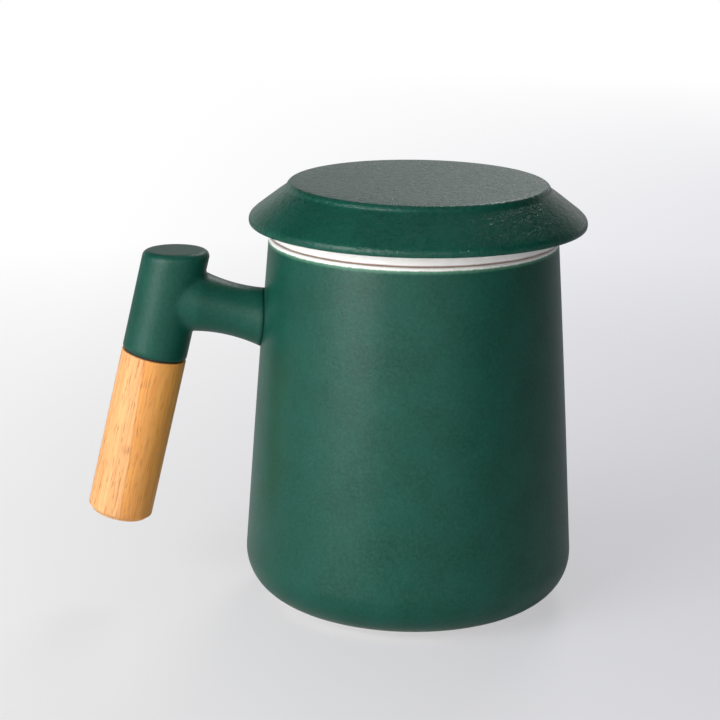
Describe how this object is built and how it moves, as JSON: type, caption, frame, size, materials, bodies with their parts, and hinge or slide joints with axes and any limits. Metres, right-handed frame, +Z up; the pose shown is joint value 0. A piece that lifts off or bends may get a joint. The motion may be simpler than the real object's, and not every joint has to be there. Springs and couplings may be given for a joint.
{
  "type": "lidded tea mug with infuser",
  "caption": "Tapered ceramic mug with a strainer that lifts out, a loose lid that rests on the strainer's flange, and a side handle with a hanging wooden grip.",
  "frame": {"origin": "on the cup's axis, at the plane of its foot ring, so the part stands on Z = 0", "axes": "+Z up along the cup's axis, the handle on the -X side in the XZ plane, +Y away from the picture's camera"},
  "size_m": [0.1432, 0.096, 0.1234],
  "materials": {
    "green_glaze": "satin glaze",
    "white_glaze": "gloss glaze",
    "beech": "oiled",
    "steel": "plain",
    "brass": "plain",
    "silicone": "matt",
    "cement": "matt"
  },
  "bodies": {
    "cup": {"cup_shell": "green_glaze", "handle_bracket": "green_glaze", "handle_stud": "steel", "stud_bond": "cement", "grip_washer": "silicone", "grip_insert": "brass", "grip": "beech"},
    "infuser": {"infuser": "white_glaze"},
    "lid": {"lid": "green_glaze"}
  },
  "joints": [
    {"name": "infuser_lift", "type": "slide", "parent": "cup", "child": "infuser", "axis": [0, 0, 1], "range_m": [0, 0.085]},
    {"name": "lid_lift", "type": "slide", "parent": "infuser", "child": "lid", "axis": [0, 0, 1], "range_m": [0, 0.04]}
  ]
}
